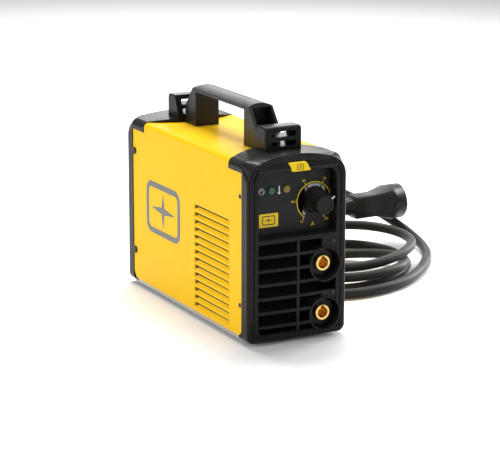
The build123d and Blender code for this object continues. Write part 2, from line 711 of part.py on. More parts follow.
with BuildPart() as handle_screws:
    with Locations(*[(x, y, floor_z) for x, y in handle_screw_places]):
        add(pan_screw(4.0, 2.4, handle_wall + sheet + 7))
finish(handle_screws.part, "handle_screws")

loop_face = face_y - loop_setback
loop_slots = [cover_high + loop_rise - 5.5 - loop_slot / 2 - (loop_slot + loop_bar) * k for k in range(2)]
with BuildPart() as strap_loop:
    with BuildSketch(Plane.YZ):
        Polygon((-loop_face, cover_high), (-loop_face, cover_high + loop_rise),
                (-loop_face + loop_thick, cover_high + loop_rise),
                (-loop_face + loop_thick + loop_foot, cover_high + crown_rise),
                (-loop_face + loop_thick + loop_foot, cover_high), align=None)
    extrude(amount=loop_half, both=True)
    fillet(strap_loop.edges().filter_by(Axis.X).group_by(Axis.Z)[-1].sort_by(Axis.Y)[0], loop_round)
    fillet(strap_loop.faces().sort_by(Axis.X)[0].edges().filter_by(Axis.X, reverse=True)
           .group_by(Axis.Z)[-1], 2.0)
    fillet(strap_loop.faces().sort_by(Axis.X)[-1].edges().filter_by(Axis.X, reverse=True)
           .group_by(Axis.Z)[-1], 2.0)
    with BuildSketch(front(loop_face + 1)):
        with Locations(*[(0, z) for z in loop_slots]):
            RectangleRounded(2 * loop_slot_half, loop_slot, 2)
    extrude(amount=-loop_thick - loop_foot - 2, mode=Mode.SUBTRACT)
    with BuildSketch(front(loop_face + 1)):
        add(shell_profile(0, seam_corner))
    extrude(amount=-loop_thick - loop_foot - 2, mode=Mode.SUBTRACT)
finish(strap_loop.part, "front_strap_loop")
finish(mirror(strap_loop.part, about=Plane.XZ), "rear_strap_loop")

# ---------------------------------------------------------------------------- fan and its guard
wall_inside = rear_y - bezel_wall
with BuildPart() as fan_frame:
    with BuildSketch(back(wall_inside - fan_depth)):
        with Locations((0, fan_z)):
            RectangleRounded(fan_size, fan_size, 4)
            Circle(fan_bore, mode=Mode.SUBTRACT)
    extrude(amount=fan_depth)
    strut = 4.0
    with BuildSketch(back(wall_inside - strut)):
        with Locations((0, fan_z)):
            Circle(fan_hub - 1)
            Rectangle(2 * fan_bore + 1, strut, rotation=45)
            Rectangle(2 * fan_bore + 1, strut, rotation=-45)
    extrude(amount=strut)
    with Locations((0, wall_inside, fan_z)):
        Cylinder(1.8, 3 * strut, rotation=(90, 0, 0), mode=Mode.SUBTRACT)
    with Locations(*[(x, wall_inside - fan_depth / 2, z) for x, z in fan_holes]):
        Cylinder(shank_radius + screw_gap, 2 * fan_depth, rotation=(90, 0, 0), mode=Mode.SUBTRACT)
finish(fan_frame.part, "fan_frame")

rotor_back = wall_inside - strut - 0.5
rotor_length = fan_depth - strut - 3
with BuildPart(back(rotor_back - rotor_length)) as fan_rotor:
    with Locations((0, fan_z, 0)):
        with PolarLocations((fan_bore + fan_hub) / 2 - 1, blade_count):
            with Locations((0, 0, rotor_length / 2)):
                Box(fan_bore - fan_hub + 4, 1.6, rotor_length * 1.25, rotation=(38, 0, 0))
        Cylinder(fan_bore - 1, rotor_length, align=bottom, mode=Mode.INTERSECT)
        Cylinder(fan_hub, rotor_length, align=bottom)
        with Locations((0, 0, rotor_length)):
            Cylinder(1.5, strut, align=bottom)
finish(fan_rotor.part, "fan_rotor")

guard_rings = [9, 17, 25, 33]
with BuildPart() as fan_guard:
    with BuildSketch(back(rear_y)):
        with Locations((0, fan_z)):
            Circle(fan_bore + 1.5)
            Circle(fan_bore - 2.5, mode=Mode.SUBTRACT)
            for radius in reversed(guard_rings):
                Circle(radius + 1)
                Circle(radius - 1, mode=Mode.SUBTRACT)
            for angle in (-45, 45):
                Rectangle(fan_pitch * sqrt(2), 3, rotation=angle)
            Circle(guard_rings[0])
        with Locations(*[(-x, z) for x, z in fan_holes]):
            Circle(4.5)
            Circle(shank_radius + screw_gap, mode=Mode.SUBTRACT)
    extrude(amount=guard_high)
finish(fan_guard.part, "fan_guard")

with BuildPart() as fan_screws:
    with Locations(*[Plane(origin=(x, rear_y + guard_high, z), z_dir=(0, 1, 0)).location
                     for x, z in fan_holes]):
        add(pan_screw(4.0, 2.4, guard_high + bezel_wall + fan_depth - 1))
finish(fan_screws.part, "fan_screws")

# ---------------------------------------------------------------------------- power switch
pin_radius = 1.5
rocker_half_x, rocker_half_z = switch_half_x - 2.3, switch_half_z - 2.6
cavity_x, cavity_z = rocker_half_x + running_gap, switch_half_z - 1.2
pivot_y = rear_y + switch_flange - 4.5
cavity_floor = 3.6
switch_plane = Plane(origin=(switch_x, rear_y, switch_z), x_dir=(-1, 0, 0), z_dir=(0, 1, 0))
with BuildPart(switch_plane) as power_switch_body:
    Box(2 * switch_half_x + 3, 2 * switch_half_z + 3, switch_flange, align=bottom)
    fillet(power_switch_body.edges().filter_by(Axis.Y), 1.5)
    Box(2 * (switch_half_x - screw_gap), 2 * (switch_half_z - screw_gap), switch_depth, align=top)
    with Locations((0, 0, pivot_y - cavity_floor - rear_y)):
        Box(2 * cavity_x, 2 * cavity_z, switch_depth, align=bottom, mode=Mode.SUBTRACT)
    with Locations((0, 0, pivot_y - rear_y)):
        Cylinder(pin_radius + screw_gap, 2 * (rocker_half_x + 1.2), rotation=(0, 90, 0), mode=Mode.SUBTRACT)
    for x in (-6, 0, 6):
        with Locations((x, 0, -switch_depth)):
            Box(0.8, 6.3, 8, align=top)
finish(power_switch_body.part, "power_switch_body")

with BuildPart() as power_switch_rocker:
    with BuildSketch(Plane.YZ.offset(switch_x - rocker_half_x)):
        with Locations(Location((pivot_y, switch_z), -rocker_tilt)):
            Polygon((-2, -rocker_half_z + 0.6), (6.5, -rocker_half_z), (4, 0), (6.5, rocker_half_z),
                    (-2, rocker_half_z - 0.6), align=None)
    extrude(amount=2 * rocker_half_x)
    with Locations((switch_x, pivot_y, switch_z)):
        Cylinder(pin_radius, 2 * (rocker_half_x + 0.9), rotation=(0, 90, 0))
finish(power_switch_rocker.part, "power_switch_rocker")

# ---------------------------------------------------------------------------- cable gland
hex_high = 6.0
cone_high = 8.6
gland_plane = Plane(origin=(gland_x, rear_y, gland_z), x_dir=(-1, 0, 0), z_dir=(0, 1, 0))
with BuildPart(gland_plane) as cable_gland:
    Cylinder(gland_thread - screw_gap, bezel_wall + 6, align=top)
    with BuildSketch(gland_plane):
        RegularPolygon(13.4, 6)
    extrude(amount=hex_high)
    with Locations((0, 0, hex_high)):
        Cylinder(12, gland_reach - hex_high - cone_high, align=bottom)
    with Locations((0, 0, gland_reach - cone_high)):
        Cone(12, 8.6, cone_high, align=bottom)
finish(cable_gland.part, "cable_gland")

with BuildPart() as gland_locknut:
    with BuildSketch(back(wall_inside - 4)):
        with Locations((-gland_x, gland_z)):
            RegularPolygon(14.5, 6)
            Circle(gland_thread - screw_gap, mode=Mode.SUBTRACT)
    extrude(amount=4)
finish(gland_locknut.part, "gland_locknut")

# ---------------------------------------------------------------------------- power electronics
board_mid = (main_board_front + main_board_rear) / 2
board_long = main_board_rear - main_board_front
pillars = [(x, board_mid + y) for x in (-45, 45) for y in (-board_long / 2 + 8, board_long / 2 - 8)]
with BuildPart() as main_board:
    with Locations((0, board_mid, main_board_z)):
        Box(2 * main_board_half, board_long, board_sheet, align=bottom)
finish(main_board.part, "main_board")

with BuildPart() as main_board_pillars:
    with BuildSketch(Plane.XY.offset(tray_top)):
        with Locations(*pillars):
            RegularPolygon(pillar_radius, 6)
    extrude(amount=main_board_z - tray_top)
finish(main_board_pillars.part, "main_board_pillars")

sink_long = sink_rear - sink_front
sink_tall = sink_high - sink_low
sink_mid = (sink_front + sink_rear) / 2
for side, name in ((-1, "left_heat_sink"), (1, "right_heat_sink")):
    with BuildPart() as heat_sink:
        with Locations((side * (sink_inner + sink_base / 2), sink_mid, board_top)):
            Box(sink_base, sink_long, sink_tall, align=bottom)
        fins = 9
        with Locations(*[(side * (sink_inner - sink_fin / 2), sink_mid,
                          board_top + 4 + k * (sink_tall - 8) / (fins - 1))
                         for k in range(fins)]):
            Box(sink_fin, sink_long, 1.8)
    finish(heat_sink.part, name)

for side, name, count in ((-1, "power_transistors", 4), (1, "output_diodes", 3)):
    chip_y = [sink_front + sink_long * (k + 0.5) / count for k in range(count)]
    with BuildPart() as chips:
        chip_x = side * (sink_inner + sink_base + chip_thick / 2)
        with Locations(*[(chip_x, y, board_top + 12) for y in chip_y]):
            Box(chip_thick, 15.6, 20, align=bottom)
        with Locations(*[(chip_x, y + leg, board_top) for y in chip_y for leg in (-5.4, 0, 5.4)]):
            Box(0.7, 1.2, 12, align=bottom)
    finish(chips.part, name)

with BuildPart() as bus_capacitors:
    with Locations(*[(x, can_y, board_top) for x in (-30, 0, 30)]):
        Cylinder(can_radius, can_high, align=bottom)
    fillet(bus_capacitors.edges().filter_by(GeomType.CIRCLE).group_by(Axis.Z)[-1], 1.2)
finish(bus_capacitors.part, "bus_capacitors")

winding_gap = 0.3
with BuildPart() as transformer_core:
    with BuildSketch(front(-core_y + core_half_y)):
        with Locations((0, board_top + core_high / 2)):
            Rectangle(2 * core_half_x, core_high)
        window = core_half_x - 2 * core_leg
        with Locations(*[(s * (core_leg + window / 2), board_top + core_high / 2) for s in (-1, 1)]):
            Rectangle(window, core_high - 2 * core_leg, mode=Mode.SUBTRACT)
    extrude(amount=-2 * core_half_y)
finish(transformer_core.part, "transformer_core")

with BuildPart() as transformer_winding:
    with Locations((0, core_y, board_top + core_high / 2)):
        Box(2 * (core_half_x - core_leg - winding_gap), 2 * (core_half_y + 10),
            core_high - 2 * core_leg - 2 * winding_gap)
    fillet(transformer_winding.edges().filter_by(Axis.Z), 5)
    with Locations((0, core_y, board_top + core_high / 2)):
        Box(2 * (core_leg + winding_gap), 2 * (core_half_y + winding_gap), core_high, mode=Mode.SUBTRACT)
finish(transformer_winding.part, "transformer_winding")

choke_z = board_top + choke_outer + choke_wrap
with BuildPart() as output_choke_core:
    with BuildSketch(front(-choke_y - choke_half)):
        with Locations((choke_x, choke_z)):
            Circle(choke_outer - winding_gap)
            Circle(choke_inner + winding_gap, mode=Mode.SUBTRACT)
    extrude(amount=2 * choke_half)
finish(output_choke_core.part, "output_choke_core")

with BuildPart() as output_choke_winding:
    with BuildSketch(front(-choke_y - choke_half - choke_wrap)):
        with Locations((choke_x, choke_z)):
            Circle(choke_outer + choke_wrap)
            Circle(choke_inner - choke_wrap, mode=Mode.SUBTRACT)
    extrude(amount=2 * (choke_half + choke_wrap))
    with BuildSketch(front(-choke_y - choke_half - winding_gap)):
        with Locations((choke_x, choke_z)):
            Circle(choke_outer)
            Circle(choke_inner, mode=Mode.SUBTRACT)
    extrude(amount=2 * (choke_half + winding_gap), mode=Mode.SUBTRACT)
    with Locations((choke_x, choke_y, choke_z + choke_outer)):
        Box(16, 4 * choke_half, 2 * choke_outer - choke_inner, mode=Mode.SUBTRACT)
finish(output_choke_winding.part, "output_choke_winding")

with BuildPart() as soft_start_relay:
    with Locations((38, core_y, board_top)):
        Box(16, 28, 20, align=bottom)
    fillet(soft_start_relay.edges().filter_by(Axis.Z), 1)
finish(soft_start_relay.part, "soft_start_relay")

# ---------------------------------------------------------------------------- mains cord and plug
boot_tip = rear_y + gland_reach + boot_length
cord_places = [
    (32, 209.6, 150), (32, 246, 150), (50, 284, 145), (90, 308, 137), (145, 306, 123), (205, 282, 103),
    (262, 252, 80), (316, 226, 54), (350, 186, 28), (358, 138, 12), (345, 92, 6.8), (316, 50, 6.8),
    (280, 11, 6.8), (236, -24, 6.8), (184, -42, 6.8), (134, -40, 6.8), (96, -12, 6.8), (80, 36, 6.8),
    (86, 88, 6.8), (110, 136, 6.8), (150, 174, 6.8), (202, 194, 6.8), (252, 190, 6.8), (290, 160, 6.8),
    (305, 112, 6.8), (295, 63, 6.8), (264, 22, 6.8), (222, -7, 6.8), (177, -21, 6.8), (135, -13, 6.8),
    (105, 19, 6.8), (99, 64, 6.8), (117, 107, 6.8), (155, 134, 6.8), (203, 138, 7), (245, 120, 10),
    (272, 83, 15), (275, 40, 20), (254, 4, 20.6), (216, -16, 20.6), (171, -21, 20.6), (130, -7, 21),
    (101, 29, 24), (92, 74, 30), (106, 121, 36), (144, 155, 42), (192, 170, 46), (240, 168, 47.5),
    (284, 148, 46.5), (308, 108, 43.5), (303, 62, 39.5), (272, 26, 36), (230, 4, 35), (184, -5, 35),
    (140, 4, 36.5), (106, 34, 40.5), (95, 80, 46), (112, 126, 53), (154, 160, 60), (203, 176, 63.5),
    (236, 181, 64), (264, 183, 67)]


def turn_radii(places):
    """Radius for each corner of a route: 0.45 of the shorter run over the tangent of half the turn."""
    radii = []
    for before, here, after in zip(places, places[1:], places[2:]):
        arriving, leaving = Vector(*here) - Vector(*before), Vector(*after) - Vector(*here)
        shorter = min(arriving.length, leaving.length)
        radii.append(0.45 * shorter / tan(radians(arriving.get_angle(leaving)) / 2))
    return radii


cord_radii = turn_radii(cord_places)
with BuildPart() as mains_cord:
    with BuildLine() as cord_route:
        FilletPolyline(*cord_places, radius=cord_radii)
    cord_wire = cord_route.wire()
    with BuildSketch(Plane(origin=cord_wire @ 0, z_dir=cord_wire % 0)):
        Circle(cord_radius)
    sweep()
finish(mains_cord.part, "mains_cord")
cord_length = cord_wire.length
print("cord length", round(cord_length, 1), "tightest radius", round(min(cord_radii), 1),
      "volume ratio", round(mains_cord.part.volume / (cord_length * pi * cord_radius ** 2), 4))

with BuildPart(back(rear_y + gland_reach)) as cord_boot:
    with Locations((-gland_x, gland_z, 0)):
        Cone(8.2, cord_radius + 1.3, boot_length, align=bottom)
finish(cord_boot.part, "cord_boot")

cord_end = Vector(*cord_places[-1])
plug_direction = (cord_end - Vector(*cord_places[-2])).normalized()
plug_plane = Plane(origin=cord_end, x_dir=plug_direction.cross(Vector(0, 0, 1)), z_dir=plug_direction)
plug_boot, plug_grip, plug_flare, plug_collar = 20.0, 27.0, 28.0, 15.0
collar_radius = 24.0
plug_body_length = plug_boot + plug_grip + plug_flare
with BuildPart(plug_plane) as plug_body:
    Cone(cord_radius + 1.5, 10, plug_boot, align=bottom)
    with BuildSketch(plug_plane.offset(plug_boot)):
        RectangleRounded(24, 27, 5)
    extrude(amount=plug_grip)
    with BuildSketch(plug_plane.offset(plug_boot + plug_grip)):
        RectangleRounded(24, 27, 5)
    with BuildSketch(plug_plane.offset(plug_body_length)):
        RectangleRounded(2 * collar_radius - 1, 2 * collar_radius - 1, collar_radius - 1)
    loft()
    with Locations((0, 0, plug_body_length)):
        Cylinder(collar_radius, plug_collar, align=bottom)
    with PolarLocations(collar_radius, 2, start_angle=0):
        with Locations((0, 0, plug_body_length + 2)):
            Box(5, 6, plug_collar, align=bottom, mode=Mode.SUBTRACT)
    with Locations(*[(0, s * 9.5, plug_body_length + plug_collar) for s in (-1, 1)]):
        Cylinder(2.4, 12, align=top, mode=Mode.SUBTRACT)
finish(plug_body.part, "plug_body")

with BuildPart(plug_plane) as plug_pins:
    with Locations(*[(0, s * 9.5, plug_body_length + plug_collar - 12) for s in (-1, 1)]):
        Cylinder(2.4, 12 + 19, align=bottom)
    fillet(plug_pins.edges().filter_by(GeomType.CIRCLE).sort_by(Axis(cord_end, plug_direction))[-2:], 1.5)
finish(plug_pins.part, "plug_pins")
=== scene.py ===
# %% [markdown]
# A portable stick welder in Blender. The metal and plastic bodies come from the CAD frame, at their real
# size and in metres. This file gives them their finishes, models the free cord as a curve and the plug and
# strain relief as meshes, and adds the printed marks and the shading strips on the louvers.

# %% Load the frame
import math

import bmesh
import bpy
from mathutils import Matrix, Vector


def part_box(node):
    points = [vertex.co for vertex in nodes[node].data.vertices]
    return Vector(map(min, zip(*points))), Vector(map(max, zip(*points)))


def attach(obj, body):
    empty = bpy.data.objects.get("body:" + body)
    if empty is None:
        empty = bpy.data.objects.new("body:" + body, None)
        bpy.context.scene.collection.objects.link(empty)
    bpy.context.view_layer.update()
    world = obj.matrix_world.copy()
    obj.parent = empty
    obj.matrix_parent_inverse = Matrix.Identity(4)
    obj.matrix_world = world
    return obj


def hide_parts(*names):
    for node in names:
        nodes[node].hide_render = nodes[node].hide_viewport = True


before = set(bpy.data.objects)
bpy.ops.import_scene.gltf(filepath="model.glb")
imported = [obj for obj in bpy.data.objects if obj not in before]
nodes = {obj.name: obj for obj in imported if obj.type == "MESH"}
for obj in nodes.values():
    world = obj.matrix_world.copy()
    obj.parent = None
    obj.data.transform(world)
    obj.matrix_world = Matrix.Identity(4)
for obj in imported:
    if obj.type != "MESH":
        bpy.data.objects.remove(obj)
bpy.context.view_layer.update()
MM = 0.001

# %% [markdown]
# The camera stands over two metres away with a long lens, so that upright edges stay nearly parallel. It is
# a little above the machine and to the left of its front, and it looks down by fourteen degrees.

# %% Camera
def aim(azimuth, elevation, roll):
    """Rotation of a camera that looks back at the origin from this side and height, in degrees."""
    turn, rise = math.radians(azimuth), math.radians(elevation)
    away = Vector((math.sin(turn) * math.cos(rise), -math.cos(turn) * math.cos(rise), math.sin(rise)))
    right = (-away).cross(Vector((0, 0, 1))).normalized()
    up = away.cross(right)
    grid = Matrix((right, up, away)).transposed()
    return grid.to_4x4() @ Matrix.Rotation(math.radians(roll), 4, "Z")


lens_data = bpy.data.cameras.new("studio_camera")
lens_data.lens = 144.0
lens_data.sensor_width = 36.0
lens_data.clip_end = 60.0
camera = bpy.data.objects.new("studio_camera", lens_data)
camera.matrix_world = Matrix.Translation((-1.0905, -2.1135, 0.6951)) @ aim(-27.82, 13.97, 0.14)
bpy.context.scene.collection.objects.link(camera)
bpy.context.scene.camera = camera
print("camera at", [round(v, 3) for v in camera.location])

# %% [markdown]
# The machine stands on white paper that fades into a white room. One big plane is the floor, the world is
# a plain near-white, and large area lamps give the soft shade under the case and the long highlights along
# the rounded plastic edges.

# %% Floor
floor_mesh = bpy.data.meshes.new("paper_floor")
reach = 30.0
floor_mesh.from_pydata([(-reach, -reach, 0), (reach, -reach, 0), (reach, reach, 0), (-reach, reach, 0)], [],
                       [(0, 1, 2, 3)])
floor = bpy.data.objects.new("paper_floor", floor_mesh)
bpy.context.scene.collection.objects.link(floor)

# %% Lamps and world
def soft_lamp(name, place, target, size, watts, colour=(1, 1, 1)):
    """A square area lamp that shines from place towards target."""
    data = bpy.data.lights.new(name, "AREA")
    data.shape = "RECTANGLE"
    data.size, data.size_y = size
    data.energy = watts
    data.color = colour
    lamp = bpy.data.objects.new(name, data)
    lamp.location = place
    lamp.rotation_euler = (Vector(target) - Vector(place)).to_track_quat("-Z", "Y").to_euler()
    bpy.context.scene.collection.objects.link(lamp)
    return lamp


middle = (0.0, 0.0, 0.12)
soft_lamp("left_wall", (-2.3, -0.2, 0.9), middle, (1.2, 1.4), 27)
soft_lamp("overhead", (0.3, 0.9, 2.2), middle, (1.5, 0.9), 66)
soft_lamp("right_wall", (1.9, 0.5, 0.8), middle, (0.7, 1.5), 40)
soft_lamp("front_fill", (0.6, -2.6, 1.3), middle, (1.0, 0.7), 11)
soft_lamp("back_wall", (1.25, 2.40, 0.95), middle, (1.6, 0.8), 9)
world = bpy.data.worlds.new("white_room")
world.use_nodes = True
world.node_tree.nodes["Background"].inputs["Color"].default_value = (1.0, 1.0, 1.0, 1.0)
world.node_tree.nodes["Background"].inputs["Strength"].default_value = 0.34
bpy.context.scene.world = world
bpy.context.scene.view_settings.view_transform = "Standard"

# %% [markdown]
# Real parts share a few effects: moulded plastic has a fine spark-eroded grain, sprayed paint has a slight
# orange-peel swell, every edge is a little rounded and rubbed, and dust settles on what faces up. The rubbed
# edge colour also carries a painted highlight along the black moulding's rims. Each effect is a node group
# with named sockets, made once and placed in every finish that needs it.

# %% Node group helpers
def group_of(name, inputs, outputs):
    """A shader node group with these sockets: (name, type, default) in, and (name, type) out."""
    group = bpy.data.node_groups.new(name, "ShaderNodeTree")
    for label, kind, value in inputs:
        socket = group.interface.new_socket(label, in_out="INPUT", socket_type=kind)
        socket.default_value = value
    for label, kind in outputs:
        group.interface.new_socket(label, in_out="OUTPUT", socket_type=kind)
    start = group.nodes.new("NodeGroupInput")
    end = group.nodes.new("NodeGroupOutput")
    return group, start, end


def put(tree, kind, place=(0, 0), **settings):
    """A new node with these properties set."""
    node = tree.nodes.new(kind)
    node.location = place
    for name, value in settings.items():
        setattr(node, name, value)
    return node


def sums(tree, operation, first, second, clamp=False):
    """A Math node on two values, each a socket or a number."""
    node = put(tree, "ShaderNodeMath", operation=operation, use_clamp=clamp)
    for slot_number, value in enumerate((first, second)):
        if isinstance(value, (int, float)):
            node.inputs[slot_number].default_value = value
        else:
            tree.links.new(value, node.inputs[slot_number])
    return node.outputs[0]


# %% Moulded grain
grain, start, end = group_of("moulded_grain", [("Size", "NodeSocketFloat", 0.0006)],
                             [("Height", "NodeSocketFloat"), ("Patches", "NodeSocketFloat")])
where = put(grain, "ShaderNodeTexCoord")
density = sums(grain, "DIVIDE", 1.0, start.outputs["Size"])
pits = put(grain, "ShaderNodeTexNoise")
pits.inputs["Detail"].default_value = 3.0
patches = put(grain, "ShaderNodeTexNoise")
patches.inputs["Scale"].default_value = 38.0
patches.inputs["Detail"].default_value = 4.0
grain.links.new(where.outputs["Object"], pits.inputs["Vector"])
grain.links.new(where.outputs["Object"], patches.inputs["Vector"])
grain.links.new(density, pits.inputs["Scale"])
grain.links.new(pits.outputs["Fac"], end.inputs["Height"])
grain.links.new(patches.outputs["Fac"], end.inputs["Patches"])

# %% Orange peel
peel, start, end = group_of("orange_peel", [("Size", "NodeSocketFloat", 0.0035)],
                            [("Height", "NodeSocketFloat")])
where = put(peel, "ShaderNodeTexCoord")
swell = put(peel, "ShaderNodeTexNoise")
swell.inputs["Detail"].default_value = 1.5
peel.links.new(where.outputs["Object"], swell.inputs["Vector"])
peel.links.new(sums(peel, "DIVIDE", 1.0, start.outputs["Size"]), swell.inputs["Scale"])
peel.links.new(swell.outputs["Fac"], end.inputs["Height"])

# %% Rounded and rubbed edges, also a painted rim highlight
rub_and_highlight, start, end = group_of("rubbed_edge_and_highlight", [("Radius", "NodeSocketFloat", 0.0008)],
                           [("Mask", "NodeSocketFloat"), ("Normal", "NodeSocketVector")])
bevel = put(rub_and_highlight, "ShaderNodeBevel", samples=6)
rub_and_highlight.links.new(start.outputs["Radius"], bevel.inputs["Radius"])
shape = put(rub_and_highlight, "ShaderNodeNewGeometry")
facing = put(rub_and_highlight, "ShaderNodeVectorMath", operation="DOT_PRODUCT")
rub_and_highlight.links.new(bevel.outputs["Normal"], facing.inputs[0])
rub_and_highlight.links.new(shape.outputs["Normal"], facing.inputs[1])
where = put(rub_and_highlight, "ShaderNodeTexCoord")
chips = put(rub_and_highlight, "ShaderNodeTexNoise")
chips.inputs["Scale"].default_value = 130.0
chips.inputs["Detail"].default_value = 5.0
rub_and_highlight.links.new(where.outputs["Object"], chips.inputs["Vector"])
turned = sums(rub_and_highlight, "MULTIPLY", sums(rub_and_highlight, "SUBTRACT", 1.0, facing.outputs["Value"]), 5.0, clamp=True)
broken = sums(rub_and_highlight, "MULTIPLY", sums(rub_and_highlight, "SUBTRACT", chips.outputs["Fac"], 0.42), 4.0, clamp=True)
rub_and_highlight.links.new(sums(rub_and_highlight, "MULTIPLY", turned, broken), end.inputs["Mask"])
rub_and_highlight.links.new(bevel.outputs["Normal"], end.inputs["Normal"])

# %% Settled dust
dust, start, end = group_of("settled_dust", [("Amount", "NodeSocketFloat", 0.1)],
                            [("Mask", "NodeSocketFloat")])
shape = put(dust, "ShaderNodeNewGeometry")
split = put(dust, "ShaderNodeSeparateXYZ")
dust.links.new(shape.outputs["Normal"], split.inputs[0])
where = put(dust, "ShaderNodeTexCoord")
clumps = put(dust, "ShaderNodeTexNoise")
clumps.inputs["Scale"].default_value = 60.0
clumps.inputs["Detail"].default_value = 6.0
dust.links.new(where.outputs["Object"], clumps.inputs["Vector"])
lying = sums(dust, "MULTIPLY", sums(dust, "MAXIMUM", split.outputs["Z"], 0.0), clumps.outputs["Fac"])
dust.links.new(sums(dust, "MULTIPLY", lying, start.outputs["Amount"], clamp=True), end.inputs["Mask"])
print("node groups", [g.name for g in bpy.data.node_groups])

# %% [markdown]
# One helper builds a finish from these effects. The Principled shader, its bump and its uniform numbers
# stay in the material itself. Colour changes a little from patch to patch, where edges are rubbed (on the
# black moulding also a painted highlight), and where dust lies.

# %% Finish helper
def place_group(tree, group, **values):
    """This effect as a node in a material, with its own values."""
    node = put(tree, "ShaderNodeGroup", node_tree=group)
    for name, value in values.items():
        node.inputs[name].default_value = value
    return node


def mix_colours(tree, amount, first, second):
    """A colour between two, where amount is a socket and each colour is a socket or four numbers."""
    node = put(tree, "ShaderNodeMix", data_type="RGBA")
    tree.links.new(amount, node.inputs["Factor"])
    for label, value in (("A", first), ("B", second)):
        socket = [s for s in node.inputs if s.name == label and s.type == "RGBA"][0]
        if isinstance(value, tuple):
            socket.default_value = value
        else:
            tree.links.new(value, socket)
    return [s for s in node.outputs if s.type == "RGBA"][0]


def finish(name, colour, worn_and_highlight, roughness, spread=0.08, metallic=0.0, edge=0.0007, wear_and_highlight=1.0, dusty=0.1,
           skin="grain", size=0.0006, depth=0.00002, coat=0.0, coat_roughness=0.1, sheen=0.0,
           gloss=0.5):
    """A material from the shared effects: its main colour, the colour of rubbed edges, which is also a
    painted highlight on the black moulding, and its skin.
    """
    material = bpy.data.materials.new(name)
    material.use_nodes = True
    tree = material.node_tree
    shader = tree.nodes["Principled BSDF"]
    shader.inputs["Metallic"].default_value = metallic
    shader.inputs["Coat Weight"].default_value = coat
    shader.inputs["Coat Roughness"].default_value = coat_roughness
    shader.inputs["Sheen Weight"].default_value = sheen
    shader.inputs["Specular IOR Level"].default_value = gloss
    edges = place_group(tree, rub_and_highlight, Radius=edge)
    lying = place_group(tree, dust, Amount=dusty)
    surface = place_group(tree, grain, Size=size)
    height = surface.outputs["Height"]
    if skin == "peel":
        height = place_group(tree, peel, Size=size).outputs["Height"]
    darker = tuple(c * 0.86 for c in colour) + (1.0,)
    tinted = mix_colours(tree, surface.outputs["Patches"], darker, tuple(colour) + (1.0,))
    # edge colour: rubbed wear, and on the black moulding also a painted rim highlight
    rubbed_and_highlit = mix_colours(tree, sums(tree, "MULTIPLY", edges.outputs["Mask"], wear_and_highlight), tinted,
                         tuple(worn_and_highlight) + (1.0,))
    dusted = mix_colours(tree, lying.outputs["Mask"], rubbed_and_highlit, (0.45, 0.43, 0.40, 1.0))
    tree.links.new(dusted, shader.inputs["Base Color"])
    swing = sums(tree, "MULTIPLY", sums(tree, "SUBTRACT", surface.outputs["Patches"], 0.5), spread * 2)
    tree.links.new(sums(tree, "ADD", swing, roughness, clamp=True), shader.inputs["Roughness"])
    bump = put(tree, "ShaderNodeBump")
    bump.inputs["Strength"].default_value = 1.0
    bump.inputs["Distance"].default_value = depth
    tree.links.new(height, bump.inputs["Height"])
    tree.links.new(edges.outputs["Normal"], bump.inputs["Normal"])
    tree.links.new(bump.outputs["Normal"], shader.inputs["Normal"])
    return material


def dress(material, *names):
    """Give CAD nodes this finish."""
    for name in names:
        for slot_of in nodes[name].material_slots:
            slot_of.link = "OBJECT"
            slot_of.material = material


# %% [markdown]
# The cover is folded steel sheet with a satin yellow powder coat. The coat has a faint orange-peel swell
# that only shows in its highlights, so it gets the peel group and a thin clear coat.

# %% Painted steel
yellow_paint = finish("yellow_paint", (0.90, 0.53, 0.004), (0.70, 0.38, 0.006), 0.42, spread=0.04,
                      edge=0.0008, wear_and_highlight=0.15, dusty=0.03, skin="peel", size=0.0030, depth=0.00004,
                      coat=0.05, coat_roughness=0.3, gloss=0.06)
dress(yellow_paint, "cover")

# %% [markdown]
# The bezels, the handle and the strap loops are moulded in black plastic with a fine satin grain. Handling
# polishes and greys their edges slightly. The black moulding's edge colour is lighter still: a painted
# highlight along the rounded rims.

# %% Moulded plastics
# black moulding: its light edge colour is partly wear and partly a painted highlight on the rims
black_moulding = finish("black_moulding", (0.0075, 0.0072, 0.0072), (0.090, 0.088, 0.084), 0.24,
                        edge=0.0009, wear_and_highlight=0.55, dusty=0.07, size=0.0005, depth=0.000018, gloss=0.14)
handle_moulding = finish("handle_moulding", (0.014, 0.0135, 0.013), (0.045, 0.043, 0.040), 0.3,
                         edge=0.0010, wear_and_highlight=0.6, dusty=0.10, size=0.0005, depth=0.000018, gloss=0.22)
socket_moulding = finish("socket_moulding", (0.006, 0.006, 0.006), (0.030, 0.029, 0.028), 0.30,
                         edge=0.0007, wear_and_highlight=0.4, dusty=0.05, size=0.0005, depth=0.00001, gloss=0.14)
knob_moulding = finish("knob_moulding", (0.006, 0.006, 0.006), (0.025, 0.024, 0.023), 0.26,
                       edge=0.0006, wear_and_highlight=0.5, dusty=0.05, size=0.0004, depth=0.00001, gloss=0.2)
panel_film = finish("panel_film", (0.023, 0.023, 0.0235), (0.05, 0.05, 0.05), 0.45, spread=0.03,
                    edge=0.0004, wear_and_highlight=0.3, dusty=0.03, size=0.0004, depth=0.000008, gloss=0.12)
dress(black_moulding, "front_bezel", "rear_bezel", "front_strap_loop", "rear_strap_loop", "cable_gland",
      "gland_locknut", "fan_frame", "fan_rotor", "power_switch_body")
dress(handle_moulding, "handle")
dress(socket_moulding, "positive_socket_housing", "negative_socket_housing", "power_switch_rocker")
dress(knob_moulding, "current_knob")
dress(panel_film, "control_panel")

# %% [markdown]
# Metal pieces: brass sockets with bright, slightly tarnished edges, blackened screws, a zinc-plated tray,
# copper bars and windings, and aluminium heat sinks. Metals take their colour from what they reflect, so
# their Metallic is one and only roughness and bump vary.

